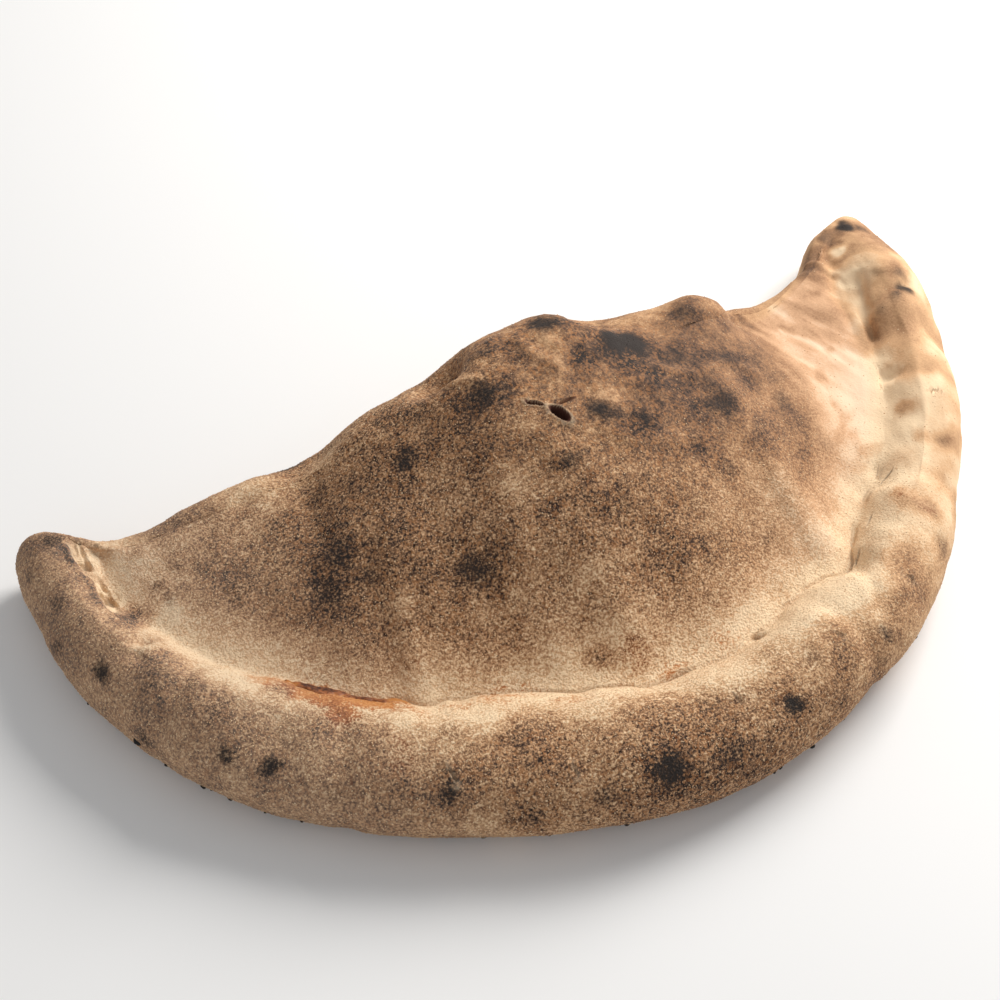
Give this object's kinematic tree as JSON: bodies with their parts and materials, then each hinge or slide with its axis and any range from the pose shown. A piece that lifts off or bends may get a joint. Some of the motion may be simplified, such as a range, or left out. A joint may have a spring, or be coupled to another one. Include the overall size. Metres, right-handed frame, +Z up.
{
  "type": "calzone",
  "caption": "Baked calzone: a domed half-moon of folded dough with a thick rolled rim, a plain folded back edge, two blunt tips and small steam holes.",
  "frame": {"origin": "on the resting plane, under the middle of the footprint's bounding box", "axes": "+X from the left tip to the right tip, +Y from the rolled rim to the folded back edge, +Z up from the resting plane"},
  "size_m": [0.294, 0.1654, 0.058],
  "materials": {
    "crust": "matt, floury, browned and spotted with char"
  },
  "bodies": {
    "root": {"calzone": "crust"}
  },
  "joints": []
}
